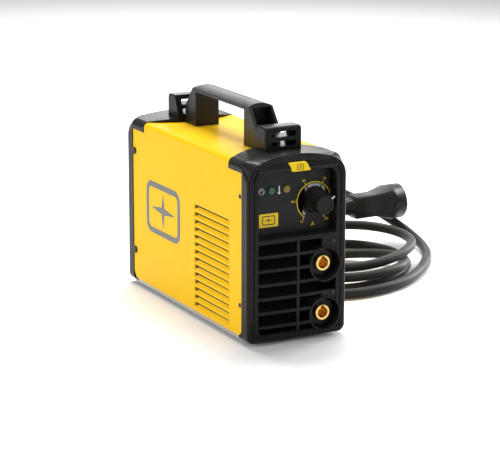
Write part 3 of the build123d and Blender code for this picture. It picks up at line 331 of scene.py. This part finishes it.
# %% Metals
socket_brass = finish("socket_brass", (0.83, 0.56, 0.20), (0.95, 0.74, 0.40), 0.27, spread=0.10,
                      metallic=1.0, edge=0.0004, wear_and_highlight=0.8, dusty=0.0, size=0.0012, depth=0.000008)
black_zinc = finish("black_zinc", (0.030, 0.030, 0.031), (0.20, 0.19, 0.18), 0.36, metallic=0.6,
                    edge=0.0003, wear_and_highlight=0.6, dusty=0.05, size=0.0006, depth=0.000006)
tray_zinc = finish("tray_zinc", (0.52, 0.53, 0.54), (0.75, 0.75, 0.75), 0.42, metallic=1.0, wear_and_highlight=0.5,
                   dusty=0.1, size=0.004, depth=0.00001)
bar_copper = finish("bar_copper", (0.82, 0.40, 0.24), (0.95, 0.60, 0.42), 0.32, metallic=1.0, wear_and_highlight=0.5,
                    dusty=0.0, size=0.002, depth=0.00001)
coil_enamel = finish("coil_enamel", (0.50, 0.17, 0.06), (0.62, 0.27, 0.12), 0.30, metallic=0.8, wear_and_highlight=0.4,
                     dusty=0.0, size=0.001, depth=0.00005)
sink_aluminium = finish("sink_aluminium", (0.72, 0.72, 0.73), (0.85, 0.85, 0.85), 0.38, metallic=1.0,
                        wear_and_highlight=0.4, dusty=0.1, size=0.002, depth=0.00001)
pin_nickel = finish("pin_nickel", (0.74, 0.73, 0.70), (0.85, 0.84, 0.82), 0.20, metallic=1.0, wear_and_highlight=0.3,
                    dusty=0.0, size=0.003, depth=0.000004)
ferrite = finish("ferrite", (0.035, 0.035, 0.037), (0.08, 0.08, 0.08), 0.55, wear_and_highlight=0.5, dusty=0.05,
                 size=0.0008, depth=0.00003)
dress(socket_brass, "positive_socket_contact", "negative_socket_contact", "stud_nuts", "socket_nuts")
dress(black_zinc, "side_screws", "base_screws", "ear_screws", "handle_screws", "fan_screws", "fan_guard")
dress(tray_zinc, "base_tray", "main_board_pillars", "control_board_pillars", "potentiometer_nut",
      "potentiometer_shaft")
dress(bar_copper, "positive_bus_bar", "negative_bus_bar")
dress(coil_enamel, "transformer_winding", "output_choke_winding")
dress(sink_aluminium, "left_heat_sink", "right_heat_sink")
dress(pin_nickel, "plug_pins")
# The foam pad behind the grille is coloured near black, darker than foam: painted shade for the dark inside
# seen between the bars.
filter_foam = finish("filter_foam", (0.0022, 0.0022, 0.0024), (0.004, 0.004, 0.0042), 0.9,
                     wear_and_highlight=0.2, dusty=0.15,
                     size=0.0012, depth=0.0006, gloss=0.1)
dress(ferrite, "transformer_core", "output_choke_core")
dress(filter_foam, "dust_filter")

# %% [markdown]
# Rubber and small parts. Cord rubber is matt with a soft sheen, boards have a green lacquer, and the small
# electronic parts are plain black or blue-black sleeves.

# %% Rubber and electronics
cord_rubber = finish("cord_rubber", (0.010, 0.010, 0.0105), (0.03, 0.03, 0.03), 0.46, spread=0.10,
                     edge=0.0004, wear_and_highlight=0.2, dusty=0.10, size=0.0010, depth=0.00003, sheen=0.15, gloss=0.12)
plug_rubber = finish("plug_rubber", (0.010, 0.010, 0.0105), (0.03, 0.03, 0.03), 0.32, spread=0.08,
                     edge=0.0009, wear_and_highlight=0.5, dusty=0.08, size=0.0006, depth=0.00002, sheen=0.1, gloss=0.16)
foot_rubber = finish("foot_rubber", (0.016, 0.016, 0.016), (0.04, 0.04, 0.04), 0.6, wear_and_highlight=0.3, dusty=0.1,
                     size=0.0008, depth=0.00004)
board_lacquer = finish("board_lacquer", (0.012, 0.16, 0.055), (0.03, 0.22, 0.10), 0.25, wear_and_highlight=0.2,
                       dusty=0.05, size=0.0015, depth=0.00002)
chip_black = finish("chip_black", (0.022, 0.022, 0.023), (0.05, 0.05, 0.05), 0.45, wear_and_highlight=0.2, dusty=0.05)
can_sleeve = finish("can_sleeve", (0.015, 0.017, 0.045), (0.05, 0.06, 0.12), 0.22, wear_and_highlight=0.2, dusty=0.05)
dress(cord_rubber, "mains_cord", "cord_boot")
dress(plug_rubber, "plug_body")
dress(foot_rubber, "rubber_feet")
dress(board_lacquer, "main_board", "control_board")
dress(chip_black, "power_transistors", "output_diodes", "potentiometer", "soft_start_relay")
dress(can_sleeve, "bus_capacitors")

# %% [markdown]
# The printed colours are thin inks and foils: yellow plates and a yellow dial line, pale grey scale marks,
# white figures, and a dark grey mark on the cover's sides.

# %% Inks
badge_foil = finish("badge_foil", (0.88, 0.62, 0.012), (0.88, 0.62, 0.02), 0.36, spread=0.03, wear_and_highlight=0.1,
                    edge=0.0002, dusty=0.02, size=0.002, depth=0.000004, coat=0.2, gloss=0.1)
white_ink = finish("white_ink", (0.72, 0.72, 0.70), (0.72, 0.72, 0.70), 0.5, spread=0.02, wear_and_highlight=0.0,
                   edge=0.0001, dusty=0.0, depth=0.000002)
grey_ink = finish("grey_ink", (0.42, 0.43, 0.44), (0.42, 0.43, 0.44), 0.5, spread=0.02, wear_and_highlight=0.0,
                  edge=0.0001, dusty=0.0, depth=0.000002)
side_ink = finish("side_ink", (0.13, 0.13, 0.135), (0.13, 0.13, 0.135), 0.45, spread=0.03, wear_and_highlight=0.0,
                  edge=0.0001, dusty=0.02, depth=0.000002)
# Black ink for the marks; the same finish is the painted shade on the louver strips.
black_ink_and_painted_shade = finish("black_ink_and_painted_shade", (0.014, 0.014, 0.014), (0.02, 0.02, 0.02), 0.45, spread=0.02, wear_and_highlight=0.0,
                   edge=0.0001, dusty=0.0, depth=0.000002)
dress(badge_foil, "panel_badge", "top_badge")
dress(white_ink, "knob_pointer")

# %% [markdown]
# The two lights are coloured plastic domes. A little emission lifts the green one, as if its lamp were on,
# and both pass some light, which gives the deep colour near their edges.

# %% Indicator lenses
def lens_finish(name, colour, glow):
    """Coloured translucent plastic with a faint glow."""
    material = finish(name, colour, colour, 0.14, spread=0.03, wear_and_highlight=0.0, edge=0.0005, dusty=0.0,
                      depth=0.000003, coat=0.6, coat_roughness=0.06)
    shader = material.node_tree.nodes["Principled BSDF"]
    shader.inputs["Subsurface Weight"].default_value = 0.25
    shader.inputs["Subsurface Radius"].default_value = (0.002, 0.002, 0.002)
    shader.inputs["Emission Color"].default_value = tuple(colour) + (1.0,)
    shader.inputs["Emission Strength"].default_value = glow
    shader.inputs["Specular IOR Level"].default_value = 0.25
    return material


dress(lens_finish("green_lens", (0.004, 0.085, 0.030), 0.03), "power_led")
dress(lens_finish("amber_lens", (0.190, 0.130, 0.006), 0.02), "overheat_led")
bezel_paper = bpy.data.materials.new("paper")
bezel_paper.use_nodes = True
paper = bezel_paper.node_tree.nodes["Principled BSDF"]
paper.inputs["Base Color"].default_value = (0.93, 0.93, 0.93, 1.0)
paper.inputs["Roughness"].default_value = 0.75
floor.data.materials.append(bezel_paper)

# %% [markdown]
# The mains cord is a free rubber cord. It leaves the boot at the back, bends down, lies in loose turns at
# the machine's side and ends in its plug, which rests on the turns. A NURBS curve with a round bevel is the
# right tool: its control points are the route, and the curve stays smooth between them.

# %% Mains cord
cord_points = [
    (32, 209.6, 150), (32, 246, 150), (50, 284, 145), (90, 308, 137), (145, 306, 123), (205, 282, 103),
    (262, 252, 80), (316, 226, 54), (350, 186, 28), (358, 138, 12), (345, 92, 6.8), (316, 50, 6.8),
    (280, 11, 6.8), (236, -24, 6.8), (184, -42, 6.8), (134, -40, 6.8), (96, -12, 6.8), (80, 36, 6.8),
    (86, 88, 6.8), (110, 136, 6.8), (150, 174, 6.8), (202, 194, 6.8), (252, 190, 6.8), (290, 160, 6.8),
    (305, 112, 6.8), (295, 63, 6.8), (264, 22, 6.8), (222, -7, 6.8), (177, -21, 6.8), (135, -13, 6.8),
    (105, 19, 6.8), (99, 64, 6.8), (117, 107, 6.8), (155, 134, 6.8), (203, 138, 7), (245, 120, 10),
    (272, 83, 15), (275, 40, 20), (254, 4, 20.6), (216, -16, 20.6), (171, -21, 20.6), (130, -7, 21),
    (101, 29, 24), (92, 74, 30), (106, 121, 35), (144, 155, 38), (192, 170, 39), (240, 167, 39.5),
    (284, 147, 38.5), (308, 108, 36), (303, 62, 34.5), (272, 26, 33.5), (230, 4, 30), (184, -3, 28),
    (140, 6, 30), (108, 36, 37), (95, 80, 45), (112, 126, 52.5), (152, 160, 57), (200, 177, 58),
    (236, 182, 56.5), (264, 182, 57),
]
cord_thickness = 0.0126


def cord_curve(name, points, radius):
    """A smooth round cord through the pull of these points, given in millimetres."""
    curve = bpy.data.curves.new(name, "CURVE")
    curve.dimensions = "3D"
    curve.bevel_depth = radius
    curve.bevel_resolution = 6
    curve.use_fill_caps = True
    line = curve.splines.new("NURBS")
    line.points.add(len(points) - 1)
    for spot, (x, y, z) in zip(line.points, points):
        spot.co = (x * MM, y * MM, z * MM, 1.0)
    line.order_u = 3
    line.use_endpoint_u = True
    line.resolution_u = 12
    piece = bpy.data.objects.new(name, curve)
    bpy.context.scene.collection.objects.link(piece)
    return piece


mains = cord_curve("mains_cord_line", cord_points, cord_thickness / 2)
mains.data.materials.append(cord_rubber)
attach(mains, "case")
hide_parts("mains_cord")

# %% [markdown]
# A helper for new pieces: it makes a mesh object from points and faces, gives it a finish and a slot, and
# lets it ride on a body of the frame.

# %% Piece helper
def piece_of(name, mesh, material, body="case"):
    """A mesh as a piece of the object."""
    mesh.materials.append(material)
    made = bpy.data.objects.new(name, mesh)
    bpy.context.scene.collection.objects.link(made)
    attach(made, body)
    return made


def solid_mesh(name, rings, smooth=True):
    """A closed skin over rings of points, with both ends filled."""
    shell = bmesh.new()
    rows = [[shell.verts.new(p) for p in ring] for ring in rings]
    for near, far in zip(rows, rows[1:]):
        for k in range(len(near)):
            n = (k + 1) % len(near)
            shell.faces.new((near[k], near[n], far[n], far[k]))
    shell.faces.new(list(reversed(rows[0])))
    shell.faces.new(rows[-1])
    bmesh.ops.recalc_face_normals(shell, faces=shell.faces)
    for face in shell.faces:
        face.smooth = smooth and len(face.verts) == 4
    mesh = bpy.data.meshes.new(name)
    shell.to_mesh(mesh)
    shell.free()
    return mesh


# %% [markdown]
# Where the cord leaves the gland it has a moulded strain relief: a rubber cone with rings cut into it, so
# that it bends evenly. It is turned about the cord's first straight run.

# %% Strain relief
def turned_mesh(name, profile, origin, axis, sides=48):
    """A profile of (distance along the axis, radius) in millimetres, turned about the axis."""
    axis = Vector(axis).normalized()
    across = axis.orthogonal().normalized()
    over = axis.cross(across)
    origin = Vector(origin) * MM
    rings = []
    for along, radius in profile:
        ring = []
        for k in range(sides):
            turn = 2 * math.pi * k / sides
            out = across * math.cos(turn) + over * math.sin(turn)
            ring.append(origin + axis * along * MM + out * radius * MM)
        rings.append(ring)
    return solid_mesh(name, rings)


relief_profile = [(-1, 8.0), (3, 8.2)]
for k in range(6):
    start_at = 5 + 5 * k
    wide = 8.1 - 0.24 * (start_at - 3) / 5 * 2
    relief_profile += [(start_at, wide), (start_at + 0.5, wide - 1.3), (start_at + 2.0, wide - 1.4),
                       (start_at + 2.6, wide - 0.35)]
relief_profile += [(34.4, 6.7), (35, 6.2)]
relief = piece_of("cord_relief", turned_mesh("cord_relief", relief_profile, (32, 174.6, 150), (0, 1, 0)),
                  cord_rubber)
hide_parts("cord_boot")

# %% [markdown]
# The plug is a heavy rubber one: a tapered neck, a square grip, a flared body with flat faces and a round
# collar with a small rib on each side, with the pins in its hollow front. It is lofted from square to round
# sections along the end of the cord, so it points where the cord points.

# %% Plug
tip = Vector(cord_points[-1])
plug_way = (tip - Vector(cord_points[-2])).normalized()
plug_side = plug_way.cross(Vector((0, 0, 1))).normalized()
plug_up = plug_side.cross(plug_way).normalized()
CORNERS = 48


def plug_ring(along, half_u, half_v, squareness):
    """A section of the plug: 1 is nearly square, 0 is round."""
    ring = []
    for k in range(CORNERS):
        turn = 2 * math.pi * k / CORNERS
        c, sn = math.cos(turn), math.sin(turn)
        power = 2 + 8 * squareness
        size = (abs(c) ** power + abs(sn) ** power) ** (-1 / power)
        spot = tip + plug_way * along + plug_side * c * size * half_u + plug_up * sn * size * half_v
        ring.append(spot * MM)
    return ring


plug_sections = [(-1, 8.6, 8.6, 0), (0, 9.6, 9.6, 0), (12, 12.0, 12.0, 0), (14, 12.2, 12.4, 0.3),
                 (14.6, 13.4, 14.9, 0.9), (15.6, 14.0, 15.6, 1), (45, 14.0, 15.6, 1), (47, 14.2, 15.8, 1),
                 (58, 17.5, 18.5, 0.7), (70, 22.0, 22.3, 0.35), (75, 23.6, 23.6, 0.05), (76, 24.0, 24.0, 0),
                 (89, 24.0, 24.0, 0), (90, 23.4, 23.4, 0), (90, 20.5, 20.5, 0), (80, 20.0, 20.0, 0)]
plug = piece_of("rubber_plug", solid_mesh("rubber_plug", [plug_ring(*part) for part in plug_sections]),
                plug_rubber)
pins_mesh = bmesh.new()
for sign in (-1, 1):
    foot_at = (tip + plug_way * 79 + plug_up * sign * 9.5)
    one = turned_mesh("pin", [(0, 2.4), (16, 2.4), (18.2, 2.1), (19, 1.2)], foot_at, plug_way, 24)
    pins_mesh.from_mesh(one)
    bpy.data.meshes.remove(one)
pin_data = bpy.data.meshes.new("plug_pin_pair")
pins_mesh.to_mesh(pin_data)
pins_mesh.free()
pins = piece_of("plug_pin_pair", pin_data, pin_nickel)
ear_mesh = bmesh.new()
for sign in (-1, 1):
    centre = tip + plug_side * sign * 23.6
    rings = []
    for along, half in ((70, 2.6), (72, 3.4), (88, 3.4), (89, 2.8)):
        ring = []
        for u, v in ((-1.6, -half), (1.6, -half), (1.6, half), (-1.6, half)):
            ring.append((centre + plug_way * along + plug_side * u + plug_up * v) * MM)
        rings.append(ring)
    one = solid_mesh("ear", rings, smooth=False)
    ear_mesh.from_mesh(one)
    bpy.data.meshes.remove(one)
ear_data = bpy.data.meshes.new("plug_grip_ribs")
ear_mesh.to_mesh(ear_data)
ear_mesh.free()
ears = piece_of("plug_grip_ribs", ear_data, plug_rubber)
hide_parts("plug_body")
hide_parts("plug_pins")

# %% [markdown]
# Prints are modelled as very thin plates that lie on their surface, so they stay sharp from near by and
# don't depend on image files. Each one is drawn in flat millimetres and then placed on the panel or on the
# cover's side.

# %% Print helper
PRINT_THICK = 0.12


PANEL_FACE = -148.0     # the control panel's front face, along Y in millimetres
COVER_HALF = 64.0       # from the middle to the cover's outer side


def panel_place(u, v, lift):
    """A point of the control panel: u to the right, v up, lift in front of its face."""
    return Vector((u * MM, (PANEL_FACE - lift) * MM, v * MM))


def left_place(u, v, lift):
    """A point on the cover's left side, read from that side: u towards the front, v up."""
    return Vector(((-COVER_HALF - lift) * MM, -u * MM, v * MM))


def right_place(u, v, lift):
    """A point on the cover's right side: u towards the back, v up."""
    return Vector(((COVER_HALF + lift) * MM, u * MM, v * MM))


def print_mesh(name, outlines, place, thick=PRINT_THICK):
    """Flat closed outlines as thin plates."""
    sheet_of = bmesh.new()
    for outline in outlines:
        low = [sheet_of.verts.new(place(u, v, 0.02)) for u, v in outline]
        high = [sheet_of.verts.new(place(u, v, thick)) for u, v in outline]
        count = len(outline)
        for k in range(count):
            n = (k + 1) % count
            sheet_of.faces.new((low[k], low[n], high[n], high[k]))
        top_face = sheet_of.faces.new(high)
        base_face = sheet_of.faces.new(list(reversed(low)))
        bmesh.ops.triangulate(sheet_of, faces=[top_face, base_face])
    bmesh.ops.recalc_face_normals(sheet_of, faces=sheet_of.faces)
    mesh = bpy.data.meshes.new(name)
    sheet_of.to_mesh(mesh)
    sheet_of.free()
    return mesh


def band(centre, inner, outer, begin, finish_at, steps=40):
    """Outline of a curved band, angles in degrees anticlockwise from the right."""
    angles = [math.radians(begin + (finish_at - begin) * k / steps) for k in range(steps + 1)]
    cu, cv = centre
    return ([(cu + outer * math.cos(a), cv + outer * math.sin(a)) for a in angles] +
            [(cu + inner * math.cos(a), cv + inner * math.sin(a)) for a in reversed(angles)])


def block(left, low, right, high):
    """Outline of an upright rectangle."""
    return [(left, low), (right, low), (right, high), (left, high)]


# %% [markdown]
# The dial's scale: a yellow line round the knob from the lower left to the lower right, short ticks across
# it, and an inner row of pale blocks. The figures are a plain scale of tens.

# %% Dial scale
knob_centre = (30.5, 162.0)
scale_from, scale_to = 235.0, -55.0
ticks = [235, 177, 119, 61, 3, -55]
dial_line = [band(knob_centre, 21.8, 22.9, scale_to, scale_from, 90)]
for angle in ticks:
    dial_line.append(band(knob_centre, 21.8, 25.4, angle - 1.2, angle + 1.2, 2))
piece_of("dial_line", print_mesh("dial_line", dial_line, panel_place), badge_foil)
pale_blocks = []
for high_end, low_end in zip(ticks, ticks[1:]):
    span = high_end - low_end
    for k in range(2):
        top_angle = high_end - 2.5 - (span - 3) / 2 * k
        pale_blocks.append(band(knob_centre, 17.6, 20.6, top_angle - (span - 3) / 2 + 2.2, top_angle, 10))
piece_of("dial_blocks", print_mesh("dial_blocks", pale_blocks, panel_place), grey_ink)


# %% Figures
def figures_mesh(name, words, height, centre, place, thick=PRINT_THICK):
    """Text as a thin plate, centred on a point, with the font that comes with Blender."""
    text = bpy.data.curves.new(name, "FONT")
    text.body = words
    text.size = height * MM
    text.align_x = "CENTER"
    text.align_y = "CENTER"
    text.extrude = 0.0
    text.resolution_u = 3
    holder = bpy.data.objects.new(name, text)
    bpy.context.scene.collection.objects.link(holder)
    bpy.context.view_layer.update()
    mesh = bpy.data.meshes.new_from_object(holder.evaluated_get(bpy.context.evaluated_depsgraph_get()))
    bpy.data.objects.remove(holder)
    work = bmesh.new()
    work.from_mesh(mesh)
    bmesh.ops.remove_doubles(work, verts=work.verts, dist=1e-7)
    flat = list(work.faces)
    raised = bmesh.ops.extrude_face_region(work, geom=flat)
    upper = {v for v in raised["geom"] if isinstance(v, bmesh.types.BMVert)}
    for vert in work.verts:
        lift = thick if vert in upper else 0.02
        vert.co = place(centre[0] + vert.co.x / MM, centre[1] + vert.co.y / MM, lift)
    bmesh.ops.recalc_face_normals(work, faces=work.faces)
    work.to_mesh(mesh)
    work.free()
    mesh.name = name
    return mesh


for angle, words in zip(ticks, ("10", "40", "60", "90", "120", "150")):
    turn = math.radians(angle)
    spot = (knob_centre[0] + 28.6 * math.cos(turn), knob_centre[1] + 28.6 * math.sin(turn))
    if spot[0] + 4 > 51.0:
        continue
    piece_of("dial_figure_" + words, figures_mesh("dial_figure_" + words, words, 4.2, spot, panel_place),
             badge_foil)
piece_of("dial_unit", figures_mesh("dial_unit", "A", 7.0, (knob_centre[0] - 1.5, 134.5), panel_place),
         badge_foil)

# %% [markdown]
# Beside the lights are two plain symbols: a power sign, which is a broken ring with an upright stroke, and
# a thermometer for overheating.

# %% Panel symbols
power_sign = [band((-38.5, 179.5), 2.9, 3.6, 115, 425, 36), block(-38.85, 179.0, -38.15, 183.8)]
piece_of("power_sign", print_mesh("power_sign", power_sign, panel_place), white_ink)
thermometer = [band((-15.5, 176.2), 0.0001, 1.7, 0, 360, 24), block(-16.2, 176.6, -14.8, 184.2)]
piece_of("heat_sign", print_mesh("heat_sign", thermometer, panel_place), white_ink)

# %% [markdown]
# The yellow plates and the cover's sides carry a generic stand-in for a mark: a star
# with four thin points inside a rounded border. It is drawn once and scaled for each place.

# %% Spark mark
def star(cu, cv, reach_u, reach_v, waist):
    """A star with four points."""
    outline = []
    for k in range(8):
        turn = math.radians(45 * k)
        if k % 2:
            outline.append((cu + waist * math.cos(turn), cv + waist * math.sin(turn)))
        else:
            outline.append((cu + reach_u * math.cos(turn), cv + reach_v * math.sin(turn)))
    return outline


def spark_mark(cu, cv, wide, high):
    """Outlines of the spark in its frame: four border bars, four corners and the star."""
    bar = high * 0.11
    corner = high * 0.22
    left, right = cu - wide / 2, cu + wide / 2
    low, top_v = cv - high / 2, cv + high / 2
    outlines = [block(left + corner, top_v - bar, right - corner, top_v),
                block(left + corner, low, right - corner, low + bar),
                block(left, low + corner, left + bar, top_v - corner),
                block(right - bar, low + corner, right, top_v - corner)]
    corners = ((right - corner, top_v - corner, 0), (left + corner, top_v - corner, 90),
               (left + corner, low + corner, 180), (right - corner, low + corner, 270))
    for cu_corner, cv_corner, first in corners:
        outlines.append(band((cu_corner, cv_corner), corner - bar, corner, first, first + 90, 10))
    outlines.append(star(cu, cv, wide * 0.36, high * 0.36, high * 0.09))
    return outlines


def badge_mark(name, badge_name, wide, high):
    """The spark mark in the middle of a badge's front face."""
    near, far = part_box(badge_name)
    centre_u, centre_v = (near[0] + far[0]) / 2 / MM, (near[2] + far[2]) / 2 / MM
    face_lift = PANEL_FACE - near[1] / MM
    mesh = print_mesh(name, spark_mark(centre_u, centre_v, wide, high),
                      lambda u, v, lift: panel_place(u, v, face_lift + lift))
    return piece_of(name, mesh, black_ink_and_painted_shade)


badge_mark("panel_mark", "panel_badge", 17.0, 11.0)
badge_mark("brow_mark", "top_badge", 9.0, 6.6)

# %% [markdown]
# The cover carries the same mark, larger, on both of its sides.

# %% Side marks
mark_middle, mark_height = 62.0, 114.0
for side, place in (("left", left_place), ("right", right_place)):
    centre_u = -mark_middle if side == "left" else mark_middle
    piece_of(side + "_mark", print_mesh(side + "_mark", spark_mark(centre_u, mark_height, 96, 66), place),
             side_ink)

# %% [markdown]
# The louvers are pressed inward at their upper edge, and the slots read as dark bands. Plain lamps leave them
# too pale, so a thin dark strip lies on the upper part of each louver's outer slope. The strips are shading
# only: the machine has no such part, and they stay dark whatever the light.

# %% Louver shading strips
LOUVERS, LOUVER_TOP, LOUVER_PITCH, LOUVER_HIGH, LOUVER_DEEP = 14, 142.6, 9.3, 6.4, 4.5
LOUVER_ENDS = (-117.0, -25.0)
LOUVER_SHEET = 1.2


def shade_strip(side_sign, top_v):
    """Corner rings of one strip, sunk at its upper edge as the louver is."""
    rings = []
    for y, pulled in ((LOUVER_ENDS[0] + 1.5, 0.70), (LOUVER_ENDS[0] + 5.0, 0.62),
                      (LOUVER_ENDS[1] - 9.0, 0.58), (LOUVER_ENDS[1] - 1.5, 0.12)):
        ring = []
        for share, out in ((pulled, 0.15), (0.99, 0.15), (0.99, -0.10), (pulled, -0.10)):
            x = COVER_HALF - (LOUVER_DEEP - LOUVER_SHEET) * share + out
            z = top_v - LOUVER_HIGH * (1 - share)
            ring.append((side_sign * x * MM, y * MM, z * MM))
        rings.append(ring)
    return rings


for side, sign in (("left", -1), ("right", 1)):
    shade = bmesh.new()
    for k in range(LOUVERS):
        strip = solid_mesh("strip", shade_strip(sign, LOUVER_TOP - LOUVER_PITCH * k), smooth=False)
        shade.from_mesh(strip)
        bpy.data.meshes.remove(strip)
    bmesh.ops.recalc_face_normals(shade, faces=shade.faces)
    shade_mesh = bpy.data.meshes.new(side + "_louver_shade")
    shade.to_mesh(shade_mesh)
    shade.free()
    piece_of(side + "_louver_shade", shade_mesh, black_ink_and_painted_shade)
